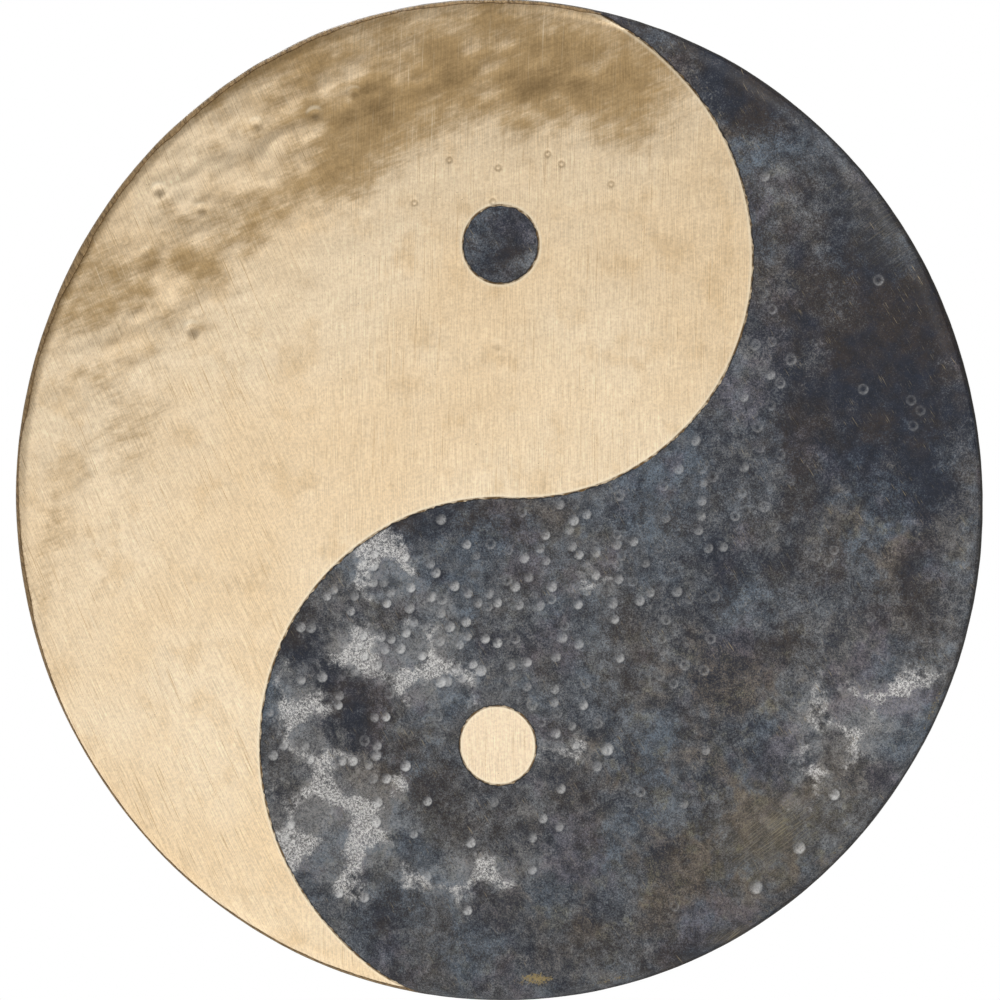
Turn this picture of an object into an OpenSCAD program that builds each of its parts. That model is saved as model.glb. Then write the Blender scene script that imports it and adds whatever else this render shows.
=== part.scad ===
// Tam tam gong: one forged bronze sheet whose face is domed and whose rim is turned back.
// Fire leaves a black crust all over it. On the face part of the crust is scraped off,
// so that bright bronze and dark crust make two interlocking halves with an eye in each.
//
// Frame: millimetres, +Z up, the face looks along -Y and the rim turns back towards +Y.
// The origin is on the gong's axis, half way through its depth.
// A profile is drawn in a half plane: x is the distance from the axis, y grows forwards.

/* [Gong] */

// diameter over the crust, at the shoulder
gong_d = 700; // [500:10:900]
// how far the middle of the face stands ahead of its edge
face_rise = 13; // [6:1:24]
// outer radius of the bend between face and rim
shoulder_r = 12; // [8:1:18]
// depth of the rim, from the edge of the face to the open back
rim_depth = 45; // [35:1:60]
// how far the rim leans in for every 24 mm that it runs back
rim_lean_in = 7; // [2:1:11]
// thickness of the bronze
sheet_t = 1.8; // [1.2:0.1:3]
// thickness of the black crust
crust_t = 0.4; // [0.3:0.1:0.6]

/* [Face pattern] */

// where the scraping stops on the shoulder, in degrees from the gong's axis
scrape_turn = 60; // [30:5:80]
// sideways place of the line that parts the halves where no bulge does
parting_x = 21; // [15:1:25]
// right edge of the bright bulge
bright_bulge_x = 192; // [185:1:200]
// height of the bright bulge's widest place
bright_bulge_z = 167.5; // [164:0.5:170]
// radius of the bright bulge below its widest place
bright_bulge_low_r = 165.3; // [164:0.1:167]
// radius of the bright bulge above its widest place
bright_bulge_high_r = 183; // [180:1:188]
// sideways place of the dark bulge's centre
dark_bulge_x = 15; // [10:1:20]
// height of the dark bulge's centre
dark_bulge_z = -176.4; // [-180:0.1:-174]
// radius of the dark bulge
dark_bulge_r = 179; // [178:0.5:182]
// diameter of the dark eye
dark_eye_d = 54; // [30:1:80]
// sideways place of the dark eye
dark_eye_x = 12; // [0:1:25]
// height of the dark eye
dark_eye_z = 179; // [160:1:190]
// diameter of the bright eye
bright_eye_d = 56; // [30:1:80]
// sideways place of the bright eye
bright_eye_x = 10; // [0:1:25]
// height of the bright eye
bright_eye_z = -170; // [-190:1:-160]

/* [Hanging] */

// diameter of the two holes for the hanging cord
hole_d = 9; // [6:0.5:12]
// distance between the two holes
hole_spacing = 150; // [80:5:240]

/* [Output] */

// which piece to draw

/* [Hidden] */

$fn = 180;
// the three layers of the wall, counted inwards from the outside
wall_t = sheet_t + 2 * crust_t;
sheet_front = crust_t;
sheet_back = crust_t + sheet_t;

// overall depth, and the face's highest point
depth = face_rise + rim_depth;
crown = depth / 2;

// centre of the shoulder's bend
shoulder_x = gong_d / 2 - shoulder_r;
shoulder_y = crown - face_rise - shoulder_r;
shoulder_centre = [shoulder_x, shoulder_y];

// the face is part of a ball that the bend touches from inside, so the two run smoothly together
face_r = (pow(shoulder_x, 2) + pow(face_rise + shoulder_r, 2) - pow(shoulder_r, 2)) / (2 * face_rise);
face_centre = [0, crown - face_r];
face_turn = asin(shoulder_x / (face_r - shoulder_r));

// the wall leaves the shoulder at this turn and runs straight to its rounded edge
rim_lean = atan(rim_lean_in / 24);
wall_turn = 90 + rim_lean;
edge_r = wall_t / 2;
wall_drop = shoulder_y + crown - (shoulder_r - edge_r) * sin(rim_lean) - edge_r;
wall_l = wall_drop / cos(rim_lean);

// the holes sit half way along the wall and cross it squarely
hole_out = shoulder_r - edge_r;
hole_radius = shoulder_x + hole_out * cos(rim_lean) - wall_l / 2 * sin(rim_lean);
hole_y = shoulder_y - hole_out * sin(rim_lean) - wall_l / 2 * cos(rim_lean);
hole_angle = asin(hole_spacing / 2 / hole_radius);

bronze_colour = [0.80, 0.62, 0.33];
field_colour = [0.20, 0.21, 0.23];
eye_colour = [0.17, 0.17, 0.18];
rim_colour = [0.16, 0.15, 0.14];
back_colour = [0.22, 0.19, 0.17];

// longer than anything that is cut
reach = gong_d;

// Profile pieces -------------------------------------------------------------

// places a drawing on the shoulder at a turn from straight ahead: x outwards, y back to the face
module at_turn(turn) {
    translate(shoulder_centre)
        rotate(90 - turn)
            children();
}

// everything that lies on the face's side of a turn
module before_turn(turn) {
    at_turn(turn)
        translate([-reach, 0])
            square([2 * reach, reach]);
}

// everything that lies on the rim's side of a turn
module after_turn(turn) {
    at_turn(turn)
        translate([-reach, -reach])
            square([2 * reach, reach]);
}

// round band between two depths under a circle
module band(centre, r, front, back) {
    translate(centre)
        difference() {
            circle(r = r - front);
            circle(r = r - back);
        }
}

// layer of the domed face, from the axis to the shoulder
module face_band(front, back) {
    intersection() {
        band(face_centre, face_r, front, back, $fn = 360);
        before_turn(face_turn);
        translate([0, -reach])
            square([reach, 2 * reach]);
    }
}

// layer of the shoulder's bend between two turns
module shoulder_band(front, back, turn_from, turn_to) {
    intersection() {
        band(shoulder_centre, shoulder_r, front, back);
        after_turn(turn_from);
        before_turn(turn_to);
    }
}

// layer of the straight wall
module wall_band(front, back) {
    at_turn(wall_turn)
        translate([shoulder_r - back, -wall_l])
            square([back - front, wall_l]);
}

// half disc that rounds the wall's edge
module wall_edge(r) {
    at_turn(wall_turn)
        translate([shoulder_r - edge_r, -wall_l])
            intersection() {
                circle(r = r);
                translate([-r, -r])
                    square([2 * r, r]);
            }
}

// turns a profile into a solid of the gong, face forwards
module spin() {
    rotate([90, 0, 0])
        rotate_extrude()
            children();
}

// Face pattern ----------------------------------------------------------------

// part of a round shape above or below a height
module part_disc(centre, r, above) {
    intersection() {
        translate(centre)
            circle(r = r);
        translate([-gong_d, centre.y - (above ? 0 : gong_d)])
            square([2 * gong_d, gong_d]);
    }
}

// bulge of the bright half into the dark one: two arcs that meet at its widest place
module bright_bulge() {
    part_disc([bright_bulge_x - bright_bulge_low_r, bright_bulge_z], bright_bulge_low_r, false);
    part_disc([bright_bulge_x - bright_bulge_high_r, bright_bulge_z], bright_bulge_high_r, true);
}

// outline of the dark half, with the hole that the bright eye fills
module dark_outline() {
    difference() {
        union() {
            translate([parting_x, -gong_d])
                square([gong_d, 2 * gong_d]);
            translate([dark_bulge_x, dark_bulge_z])
                circle(r = dark_bulge_r);
        }
        bright_bulge();
        translate([bright_eye_x, bright_eye_z])
            circle(d = bright_eye_d);
    }
}

// runs an outline drawn on the face through the whole depth
module through_face() {
    rotate([90, 0, 0])
        linear_extrude(height = depth)
            children();
}

// crust on the part of the scraped area that lies inside an outline
module crust_within() {
    intersection() {
        spin()
            face_band(0, crust_t);
        through_face()
            children();
    }
    intersection() {
        spin()
            shoulder_band(0, crust_t, face_turn, scrape_turn);
        through_face()
            children();
    }
}

// Hanging -----------------------------------------------------------------------

// the two holes for the cord, left and right of the top
module hang_holes() {
    for (side = [-1, 1])
        rotate([0, side * hole_angle, 0])
            translate([0, -hole_y, hole_radius])
                rotate([-rim_lean, 0, 0])
                    cylinder(h = 10 * wall_t, d = hole_d, center = true);
}

// Pieces --------------------------------------------------------------------------

// the forged sheet: domed face, shoulder and turned rim
module bronze_sheet() {
    color(bronze_colour)
        difference() {
            spin() {
                face_band(sheet_front, sheet_back);
                shoulder_band(sheet_front, sheet_back, face_turn, wall_turn);
                wall_band(sheet_front, sheet_back);
                wall_edge(sheet_t / 2);
            }
            hang_holes();
        }
}

// the crust left on the dark half of the face
module dark_field() {
    color(field_colour)
        crust_within()
            dark_outline();
}

// the round patch of crust left in the bright half
module dark_eye() {
    color(eye_colour)
        crust_within()
            translate([dark_eye_x, dark_eye_z])
                circle(d = dark_eye_d);
}

// the crust outside the rim, from the end of the scraping round the edge
module rim_crust() {
    color(rim_colour)
        difference() {
            spin() {
                shoulder_band(0, crust_t, scrape_turn, wall_turn);
                wall_band(0, crust_t);
                difference() {
                    wall_edge(edge_r);
                    wall_edge(sheet_t / 2);
                }
            }
            hang_holes();
        }
}

// the crust on the back of the face and inside the rim
module back_crust() {
    color(back_colour)
        difference() {
            spin() {
                face_band(sheet_back, wall_t);
                shoulder_band(sheet_back, wall_t, face_turn, wall_turn);
                wall_band(sheet_back, wall_t);
            }
            hang_holes();
        }
}

bronze_sheet();
dark_field();
dark_eye();
rim_crust();
back_crust();
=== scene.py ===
"""Looks of the tam tam gong: hammered bronze sheet, and the crust left on its face, rim and back.

Metres, +Z up, the face looks along -Y. Every piece is a closed shell laid over one unrolled skin:
a point (u, v) of the skin lies hypot(u, v) from the middle of the face, measured over the face,
the shoulder and the wall, and at the clock angle of (u, v).
"""

import math

import bpy
import numpy as np
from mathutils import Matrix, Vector
from mathutils.geometry import delaunay_2d_cdt


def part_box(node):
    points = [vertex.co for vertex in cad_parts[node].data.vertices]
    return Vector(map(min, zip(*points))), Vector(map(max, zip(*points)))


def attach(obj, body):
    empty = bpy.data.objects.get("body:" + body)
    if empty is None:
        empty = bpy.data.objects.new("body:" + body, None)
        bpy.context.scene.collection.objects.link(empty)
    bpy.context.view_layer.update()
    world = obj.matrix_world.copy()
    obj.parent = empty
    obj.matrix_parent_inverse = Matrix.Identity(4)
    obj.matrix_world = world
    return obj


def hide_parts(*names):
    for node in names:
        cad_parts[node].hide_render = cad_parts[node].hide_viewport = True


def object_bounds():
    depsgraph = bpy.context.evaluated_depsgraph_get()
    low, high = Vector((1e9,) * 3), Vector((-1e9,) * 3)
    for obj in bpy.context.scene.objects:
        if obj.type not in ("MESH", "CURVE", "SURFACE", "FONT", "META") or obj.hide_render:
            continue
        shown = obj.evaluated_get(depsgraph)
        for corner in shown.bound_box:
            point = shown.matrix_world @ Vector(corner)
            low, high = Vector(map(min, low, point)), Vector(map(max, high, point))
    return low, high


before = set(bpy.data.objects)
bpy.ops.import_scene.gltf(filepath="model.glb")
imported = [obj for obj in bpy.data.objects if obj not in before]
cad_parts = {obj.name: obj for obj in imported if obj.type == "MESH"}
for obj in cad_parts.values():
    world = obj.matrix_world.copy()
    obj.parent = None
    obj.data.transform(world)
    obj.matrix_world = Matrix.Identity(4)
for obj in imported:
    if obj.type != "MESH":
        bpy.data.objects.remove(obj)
cad_low, cad_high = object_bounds()

MM = 0.001
FULL_TURN = 2 * math.pi
TINY = 1e-9


def span(points):
    """Distance of points from the middle."""
    return np.hypot(points[:, 0], points[:, 1])


def unit(value):
    """The value, kept between 0 and 1."""
    return np.clip(value, 0, 1)


def bell(value, middle, width):
    """1 where the value is in the middle, falling to 0 on both sides."""
    return np.exp(-(((value - middle) / width) ** 2))


def sideways(line):
    """Direction to the left of a line, at each of its points."""
    ahead = np.gradient(line, axis=0)
    ahead /= span(ahead)[:, None]
    return np.column_stack([-ahead[:, 1], ahead[:, 0]])


def rays(count, shift=0.0):
    """Directions evenly spread over a full turn. They may be shifted by a share of a step."""
    turn = FULL_TURN * (np.arange(count) + shift) / count
    return np.column_stack([np.cos(turn), np.sin(turn)])


# Profile ---------------------------------------------------

FACE_RISE = 13 * MM
SHOULDER_R = 12 * MM
RIM_LEAN = math.atan(7 / 24)
SHEET_T = 1.8 * MM
CRUST_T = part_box("bronze_sheet")[0].y - cad_low.y
WALL_T = SHEET_T + 2 * CRUST_T
EDGE_R = WALL_T / 2

SHOULDER_X = (cad_high.x - cad_low.x) / 2 - SHOULDER_R
SHOULDER_Y = cad_low.y + FACE_RISE + SHOULDER_R
FACE_R = (SHOULDER_X**2 + (FACE_RISE + SHOULDER_R) ** 2 - SHOULDER_R**2) / (2 * FACE_RISE)
FACE_Y = cad_low.y + FACE_R
FACE_TURN = math.asin(SHOULDER_X / (FACE_R - SHOULDER_R))
WALL_TURN = math.pi / 2 + RIM_LEAN
WALL_DROP = cad_high.y - SHOULDER_Y - (SHOULDER_R - EDGE_R) * math.sin(RIM_LEAN) - EDGE_R
WALL_L = WALL_DROP / math.cos(RIM_LEAN)
SCRAPE_TURN = math.radians(60)

# where face, shoulder, wall and rounded edge end along the skin
FACE_END = FACE_R * FACE_TURN
SHOULDER_END = FACE_END + SHOULDER_R * (WALL_TURN - FACE_TURN)
WALL_END = SHOULDER_END + WALL_L
SKIN_END = WALL_END + math.pi * EDGE_R
SCRAPE_END = FACE_END + SHOULDER_R * (SCRAPE_TURN - FACE_TURN)


def profile(s, inwards):
    """Distance from the axis and y of points s along the skin and that far under it."""
    part = [s < FACE_END, s < SHOULDER_END, s < WALL_END]
    down = np.clip(s - SHOULDER_END, 0, WALL_L)
    turn = np.select(
        part,
        [s / FACE_R, FACE_TURN + (s - FACE_END) / SHOULDER_R, WALL_TURN],
        WALL_TURN + (s - WALL_END) / EDGE_R,
    )
    wall_x = SHOULDER_X - down * math.sin(RIM_LEAN)
    wall_y = SHOULDER_Y + down * math.cos(RIM_LEAN)
    edge_x = wall_x + (SHOULDER_R - EDGE_R) * math.sin(WALL_TURN)
    edge_y = wall_y - (SHOULDER_R - EDGE_R) * math.cos(WALL_TURN)
    centre_x = np.select(part, [0 * s, SHOULDER_X + 0 * s, wall_x], edge_x)
    centre_y = np.select(part, [FACE_Y + 0 * s, SHOULDER_Y + 0 * s, wall_y], edge_y)
    radius = np.select(part, [FACE_R, SHOULDER_R, SHOULDER_R], EDGE_R) - inwards
    return centre_x + radius * np.sin(turn), centre_y - radius * np.cos(turn)


def place(skin, inwards):
    """Points of the object for points of the skin."""
    s = np.maximum(span(skin), TINY)
    r, y = profile(s, inwards)
    return np.column_stack([skin[:, 0] / s * r, y, skin[:, 1] / s * r])


def unroll(flat):
    """Points of the skin for points (x, z) of the scraped part, seen straight on."""
    r = np.maximum(span(flat), TINY)
    on_face = FACE_R * np.arcsin(np.minimum(r / FACE_R, 1))
    bend = np.arcsin(unit((r - SHOULDER_X) / SHOULDER_R))
    s = np.where(on_face < FACE_END, on_face, FACE_END + (bend - FACE_TURN) * SHOULDER_R)
    return flat / r[:, None] * s[:, None]


# Random but repeatable fields ------------------------------

FIELD_CELLS = 256
# moves every place used to the positive side of the lattice
LATTICE_SHIFT = 500


def lattice(points, cell, stretch, turn):
    """Whole and broken part of each point in a lattice of cells, longer by stretch along turn."""
    c, s = math.cos(turn), math.sin(turn)
    along = (points[:, 0] * c + points[:, 1] * s) / (cell * stretch) + LATTICE_SHIFT
    across = (points[:, 1] * c - points[:, 0] * s) / cell + LATTICE_SHIFT
    spot = np.column_stack([along, across])
    whole = np.floor(spot).astype(int)
    return whole, spot - whole


def cloud(points, cell, seed, stretch=1.0, turn=0.0):
    """Smooth random value from -1 to 1, with hills about a cell apart."""
    table = np.random.default_rng(seed).uniform(-1, 1, (FIELD_CELLS, FIELD_CELLS))
    whole, part = lattice(points, cell, stretch, turn)
    i, j = (whole % FIELD_CELLS).T
    i2, j2 = (i + 1) % FIELD_CELLS, (j + 1) % FIELD_CELLS
    a, b = (part**3 * (part * (part * 6 - 15) + 10)).T
    low = table[i, j] * (1 - a) + table[i2, j] * a
    high = table[i, j2] * (1 - a) + table[i2, j2] * a
    return low * (1 - b) + high * b


def clouds(points, cell, seed, octaves=3, stretch=1.0, turn=0.0):
    """Sum of ever finer clouds, from about -1 to 1."""
    total = sum(cloud(points, cell / 2**k, seed + k, stretch, turn) / 2**k for k in range(octaves))
    return total / 1.5


def blows(points, cell, seed):
    """Overlapping dimples of a hammer: 1 in the middle of a blow, falling to the ridges between."""
    return nearest_blow(points, cell, seed)[0]


def nearest_blow(points, cell, seed):
    """Dimples as above, and each blow's own random tone from 0 to 1."""
    jitter = np.random.default_rng(seed).uniform(0.1, 0.9, (FIELD_CELLS, FIELD_CELLS, 3))
    whole, part = lattice(points, cell, 1.0, 0.0)
    nearest = np.full(len(points), 4.0)
    tone = np.zeros(len(points))
    for di in (-1, 0, 1):
        for dj in (-1, 0, 1):
            i, j = ((whole + (di, dj)) % FIELD_CELLS).T
            far = ((jitter[i, j, :2] + (di, dj) - part) ** 2).sum(1)
            tone = np.where(far < nearest, jitter[i, j, 2], tone)
            nearest = np.minimum(nearest, far)
    return 1 - nearest, tone


def patches(points, table, warp=0.012):
    """Soft patches. Rows: centre x, z, half length and width in mm, slant in degrees, strength."""
    wander = np.column_stack([clouds(points, 0.045, 70), clouds(points, 0.045, 79)])
    moved = (points + warp * wander) / MM
    total = np.zeros(len(points))
    for x, z, length, width, slant, strength in table:
        c, s = math.cos(math.radians(slant)), math.sin(math.radians(slant))
        dx, dz = moved[:, 0] - x, moved[:, 1] - z
        far = ((dx * c + dz * s) / length) ** 2 + ((dz * c - dx * s) / width) ** 2
        total += strength * np.exp(-far)
    return total


# Face pattern ----------------------------------------------


def disc(x, z, radius):
    """Centre and radius of a circle on the face, from millimetres."""
    return np.array([x, z]) * MM, radius * MM


# widest place of the bright bulge, and its radius below and above that
BULGE_X, BULGE_Z = 192, 167.5
BULGE_LOW_R, BULGE_HIGH_R = 165.3, 183

PARTING_X = 21 * MM
BULGE_LOW = disc(BULGE_X - BULGE_LOW_R, BULGE_Z, BULGE_LOW_R)
BULGE_HIGH = disc(BULGE_X - BULGE_HIGH_R, BULGE_Z, BULGE_HIGH_R)
DARK_BULGE = disc(15, -176.4, 179)
BRIGHT_EYE = disc(10, -170, 28)
# next to the rim the parting line runs this far outside its arcs, from this height on
END_SPREAD = 2.8 * MM
END_FROM = 290 * MM
END_OVER = 48 * MM

eye_low, eye_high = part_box("dark_eye")
DARK_EYE = (
    np.array([eye_low.x + eye_high.x, eye_low.z + eye_high.z]) / 2,
    (eye_high.x - eye_low.x) / 2,
)


def within(flat, circle):
    """How far points lie inside a circle, less than 0 outside."""
    centre, radius = circle
    return radius - span(flat - centre)


def straightened(flat):
    """How far the parting line runs outside its arcs, next to the rim."""
    return END_SPREAD * unit((np.abs(flat[:, 1]) - END_FROM) / END_OVER) ** 2


def within_dark(flat):
    """How far points (x, z) lie inside the dark field, less than 0 outside."""
    high = within(flat, BULGE_HIGH) + straightened(flat)
    bulge = np.where(flat[:, 1] >= BULGE_HIGH[0][1], high, within(flat, BULGE_LOW))
    field = np.maximum(flat[:, 0] - PARTING_X, within(flat, DARK_BULGE) + straightened(flat))
    return np.minimum(np.minimum(field, -bulge), -within(flat, BRIGHT_EYE))


def seen_flat(skin):
    """Points (x, z) of points of the skin, seen straight on."""
    return place(skin, 0.0)[:, [0, 2]]


def clock(skin):
    """Angle of points round the axis, from the top towards +X."""
    return np.arctan2(skin[:, 0], skin[:, 1])


def around(angle):
    """Direction on the skin of a clock angle."""
    return np.column_stack([np.sin(angle), np.cos(angle)])


def crossing(circle_a, circle_b, side):
    """One of the two points where two circles cross, on the given side of the line between centres."""
    (centre_a, ra), (centre_b, rb) = circle_a, circle_b
    gap = centre_b - centre_a
    d = np.hypot(*gap)
    along = (d * d + ra * ra - rb * rb) / (2 * d)
    away = math.sqrt(ra * ra - along * along)
    ahead = gap / d
    return centre_a + along * ahead + side * away * np.array([-ahead[1], ahead[0]])


# distance between points along the edges of the crust
LOOP_STEP = 1.1 * MM


def arc(circle, start, end, turns):
    """Points along a circle from start to end, clockwise (-1) or back (1), straightened at the rim."""
    centre, radius = circle
    a = math.atan2(*(start - centre)[::-1])
    b = math.atan2(*(end - centre)[::-1])
    sweep = (b - a) * turns % FULL_TURN * turns
    count = max(2, int(abs(sweep) * radius / LOOP_STEP))
    t = a + sweep * np.arange(count) / count
    ray = np.column_stack([np.cos(t), np.sin(t)])
    spots = centre + radius * ray
    return spots + straightened(spots)[:, None] * ray


SCRAPE_CIRCLE = (np.zeros(2), SHOULDER_X + SHOULDER_R * math.sin(SCRAPE_TURN))
parting_top = crossing((BULGE_HIGH[0], BULGE_HIGH[1] + END_SPREAD), SCRAPE_CIRCLE, 1)
parting_foot = crossing((DARK_BULGE[0], DARK_BULGE[1] + END_SPREAD), SCRAPE_CIRCLE, 1)
parting_mid = crossing(BULGE_LOW, DARK_BULGE, -1)
bulge_side = np.array([BULGE_LOW[0][0] + BULGE_LOW[1], BULGE_LOW[0][1]])


def ragged(line, seed, depth=0.72 * MM):
    """A line with the small teeth that a scraper leaves: every point steps sideways a little."""
    step = depth * (0.7 * cloud(line, 4.2 * MM, seed) + 0.9 * cloud(line, 2.1 * MM, seed + 1))
    return line + step[:, None] * sideways(line)


def parting_line():
    """The line between the bright and the dark half, from the top of the face to its foot."""
    line = np.vstack(
        [
            arc(BULGE_HIGH, parting_top, bulge_side, -1),
            arc(BULGE_LOW, bulge_side, parting_mid, -1),
            arc(DARK_BULGE, parting_mid, parting_foot, 1),
        ]
    )
    smooth = unroll(line)
    count = np.arange(len(smooth))
    ease = unit(np.minimum(count, len(smooth) - count) / 6)[:, None]
    return (smooth + ease * (ragged(smooth, 21) - smooth))[1:]


def brown_band(angle):
    """How far the rim's crust reaches in over the scraped half: widest at the upper left."""
    upper_left = bell(angle, math.radians(-47), math.radians(30))
    left = bell(angle, math.radians(-98), math.radians(20))
    wander = 0.75 + 0.5 * cloud(around(angle), 0.10, 25)
    teeth = 0.5 * cloud(around(angle) * SCRAPE_END, 9 * MM, 26)
    fine = 0.3 * cloud(around(angle) * SCRAPE_END, 3 * MM, 27)
    return np.maximum(0.25, (8.5 * upper_left + 3.6 * left) * wander + 0.7 + teeth + fine) * MM


top_angle = math.atan2(parting_top[0], parting_top[1])
foot_angle = math.atan2(parting_foot[0], parting_foot[1])
dark_sweep = (foot_angle - top_angle) % FULL_TURN


def scrape_end(angle):
    """Where the scraping stops on the skin: even beside the dark field, ragged on the bright half."""
    past = (angle - top_angle) % FULL_TURN
    from_ends = np.minimum(past - dark_sweep, FULL_TURN - past)
    return SCRAPE_END - unit(from_ends / math.radians(2.5)) * brown_band(angle)


def sweep_angles(start, sweep, radius, step):
    """Clock angles over a sweep, about a step apart at the radius."""
    count = int(sweep * radius / step)
    return start + sweep * np.arange(count) / count


dark_rim_angles = sweep_angles(top_angle, dark_sweep, SCRAPE_END, 1.2 * MM)
bright_rim_angles = sweep_angles(foot_angle, FULL_TURN - dark_sweep, SCRAPE_END, 1.2 * MM)


def rim_line(angles):
    """Points where the rim's crust ends, at those clock angles."""
    return around(angles) * scrape_end(angles)[:, None]


def within_bright(skin):
    """How far points of the skin lie inside the scraped metal, less than 0 under crust."""
    flat = seen_flat(skin)
    inside = np.minimum(-within_dark(flat), -within(flat, DARK_EYE))
    return np.minimum(inside, scrape_end(clock(skin)) - span(skin))


# Hammer marks ----------------------------------------------

# groups of small round marks in the dark field: centre x, z, spread x, z in mm, and how many
MARK_GROUPS = [
    (-28, -58, 40, 34, 46),
    (20, -62, 46, 34, 40),
    (86, -40, 34, 26, 26),
    (-84, -98, 34, 34, 32),
    (46, -132, 44, 22, 24),
    (-92, -168, 34, 44, 26),
    (150, 10, 34, 28, 16),
    (198, 92, 9, 56, 16),
    (150, -60, 46, 34, 14),
    (-14, -232, 60, 34, 18),
    (238, -30, 56, 44, 9),
    (120, -240, 80, 46, 10),
    (268, 60, 44, 70, 5),
    (203, 84, 8, 56, 10),
    (285, 40, 26, 80, 6),
]
# single deeper marks: x, z, radius and depth in mm, and how light they look
DEEP_MARKS = [
    (223.8, -237.5, 4.2, 0.55, 1.0),
    (192.8, -265.5, 4.6, 0.35, 0.7),
    (88.5, -171, 4.4, 0.40, 0.9),
    (248.6, -200.2, 3.8, 0.45, 1.0),
    (-31, -126, 3.8, 0.35, 1.0),
]
# little rings stamped into the bright half: x, z in mm
RING_MARKS = [(-26, 238), (9.5, 232.4), (45, 242), (55, 235), (90.7, 221), (-51, 208), (6, 209)]
# dents in the bright half: x, z, radius and depth in mm
DENTS = [
    (-240, 216, 5.5, 0.42),
    (-208.6, 203, 4.6, 0.30),
    (-125, 269, 5.2, 0.40),
    (-168, 262, 5.0, 0.30),
    (-214, 118, 6.0, 0.36),
    (-250, 172, 4.5, 0.22),
    (-96, 284, 4.6, 0.28),
    (10, 109, 4.0, 0.18),
]
# centres of the small marks lie at least this far apart
MARK_APART = 6.6 * MM


def scatter_marks():
    """Small marks of the dark field: centre, radius, depth and lightness of each, one row a mark."""
    rng = np.random.default_rng(5)
    rows = []
    for x, z, wide, high, count in MARK_GROUPS:
        spots = rng.normal((x, z), (wide, high), (count, 2)) * MM
        radii = rng.uniform(3.0, 3.7, count) * MM
        depths = rng.uniform(0.16, 0.40, count) * MM
        light = rng.uniform(0.25, 1.0, count) * np.clip(0.95 - spots[:, 0] / 0.34, 0.30, 1)
        clear = np.minimum(within_dark(spots), SHOULDER_X - span(spots))
        keep = clear > radii + 1 * MM
        rows.append(np.column_stack([spots, radii, depths, light])[keep])
    kept = []
    for row in np.vstack(rows):
        if all(math.hypot(*(row - k)[:2]) > MARK_APART for k in kept):
            kept.append(row)
    return np.vstack([kept, np.array(DEEP_MARKS) * (MM, MM, MM, MM, 1)])


dark_marks = scatter_marks()
# what the columns of a mark hold after its place
RADIUS, DEPTH, LIGHT = 2, 3, 4
RING_DEPTH = 0.16 * MM
ring_marks = np.array([(x * MM, z * MM, 2.6 * MM, RING_DEPTH) for x, z in RING_MARKS])
bright_dents = np.array(DENTS) * MM


def near_mark(skin, mark, reach):
    """Which points lie within reach radii of a mark, and where they are, in radii from its centre."""
    spot = unroll(mark[None, :2])[0]
    offset = (skin - spot) / mark[RADIUS]
    near = np.nonzero(span(offset) < reach)[0]
    return near, offset[near]


# a mark that looks less light than this shows only its lip
FAINT_MARK = 0.33


def over_marks(skin, marks, reach, shape, combine=np.maximum):
    """A field with one shape for each mark. shape takes the mark and offsets from it, in its radii."""
    total = np.zeros(len(skin))
    for mark in marks:
        near, offset = near_mark(skin, mark, reach)
        total[near] = combine(total[near], shape(mark, offset, span(offset)))
    return total


def cup_light(mark, offset, q):
    """How light the powder in a mark is, with painted light that makes it lightest at its lower right;
    on a faint one only on its lip.
    """
    towards = np.clip(0.55 + 0.42 * (offset[:, 0] - offset[:, 1]), 0.12, 1)
    if mark[LIGHT] > FAINT_MARK:
        return mark[LIGHT] * unit((1.12 - q) / 0.22) * towards
    return mark[LIGHT] * 1.35 * bell(q, 0.85, 0.2) * np.maximum(towards, 0.45)


def cup_shadow(mark, offset, q):
    """Painted shadow round a mark: most at its upper left and just outside its lower right."""
    towards = (offset[:, 0] - offset[:, 1]) / np.maximum(q, 0.1) / math.sqrt(2)
    upper = 0.7 * bell(q, 0.85, 0.25) * unit(-towards)
    lower = bell(q, 1.25, 0.18) * unit(towards)
    return mark[LIGHT] * (upper + lower)


def cup_hollow(mark, offset, q):
    """Hollow of a mark, with the small lip that the hammer pushes up round it."""
    return mark[DEPTH] * (0.30 * bell(q, 1.08, 0.22) - unit(1 - q * q) ** 1.3)


def cup_relief(skin, marks):
    """Hollows and lips of all the marks."""
    return over_marks(skin, marks, 1.8, cup_hollow, np.add)


def ring_mask(skin):
    """1 along each stamped ring, 0 away from it."""
    return over_marks(skin, ring_marks, 1.8, lambda mark, offset, q: bell(q, 0.75, 0.25))


def dent_painted_light(mark, offset, q):
    """Painted highlight on the upper edge (above 0) and painted shadow on the lower side (below 0) of a
    dent in the bright half.
    """
    shadow = bell(offset[:, 0], 0, 0.75) * bell(offset[:, 1], -0.15, 0.55)
    glint = bell(q, 1.1, 0.35) * unit(offset[:, 1] - 0.3 * offset[:, 0])
    return mark[DEPTH] / (0.4 * MM) * (0.8 * glint - shadow)


# Relief of the whole sheet ---------------------------------

# where hammering shows most on the bright half
ROUGH_PATCHES = [
    (-60, 300, 150, 34, 8, 0.9),
    (-175, 225, 80, 46, 28, 1.0),
    (-250, 130, 60, 40, 50, 0.7),
    (60, 285, 100, 36, -14, 0.5),
    (-290, 20, 30, 80, 0, 0.4),
]


def waves(skin):
    """Bumps that planishing left, in mm: slanted streaks and lumps, most at the upper left."""
    rough = 0.10 + patches(seen_flat(skin), ROUGH_PATCHES)
    streaks = 0.50 * clouds(skin, 0.013, 15, 2, 2.7, math.radians(20))
    lumps = 0.75 * clouds(skin, 0.026, 18, 2)
    wrinkles = 0.20 * cloud(skin, 0.0065, 16, 2.0, math.radians(24))
    return rough * (streaks + lumps + wrinkles)


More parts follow.
